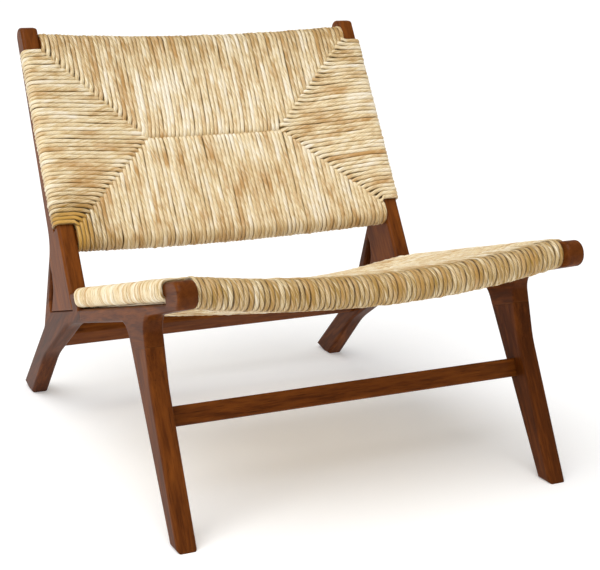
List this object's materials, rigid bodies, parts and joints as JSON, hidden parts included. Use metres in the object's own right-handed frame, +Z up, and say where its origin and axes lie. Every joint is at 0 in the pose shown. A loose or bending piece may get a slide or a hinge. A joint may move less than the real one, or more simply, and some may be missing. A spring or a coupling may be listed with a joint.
{
  "type": "rush seat lounge chair",
  "caption": "Low armless lounge chair: two raked hardwood side frames joined by bowed rails, with a woven rush seat and back.",
  "frame": {"origin": "on the floor, in the middle of the chair's footprint box", "axes": "+X to the sitter's left as seen from the front, +Y from the front feet to the back, +Z up"},
  "size_m": [0.6732, 0.8764, 0.6871],
  "materials": {
    "stained_hardwood": "satin lacquer over reddish brown stain",
    "dowel_wood": "bare turned wood",
    "rush_cord": "dry twisted rush, pale straw with golden and olive streaks",
    "loose_rush": "loose broken rush"
  },
  "bodies": {
    "root": {"left_side_rail": "stained_hardwood", "left_front_leg": "stained_hardwood", "left_rear_leg": "stained_hardwood", "left_back_post": "stained_hardwood", "left_seat_batten": "stained_hardwood", "right_side_rail": "stained_hardwood", "right_front_leg": "stained_hardwood", "right_rear_leg": "stained_hardwood", "right_back_post": "stained_hardwood", "right_seat_batten": "stained_hardwood", "front_seat_rail": "stained_hardwood", "rear_seat_rail": "stained_hardwood", "back_bottom_rail": "stained_hardwood", "back_top_rail": "stained_hardwood", "front_stretcher": "stained_hardwood", "rear_cross_rail": "stained_hardwood", "leg_joint_dowels": "dowel_wood", "seat_rail_dowels": "dowel_wood", "post_foot_dowels": "dowel_wood", "brace_dowels": "dowel_wood", "front_stretcher_dowels": "dowel_wood", "rear_cross_rail_dowels": "dowel_wood", "seat_rush": "rush_cord", "back_rush": "rush_cord", "seat_stuffing": "loose_rush", "back_stuffing": "loose_rush"}
  },
  "joints": []
}
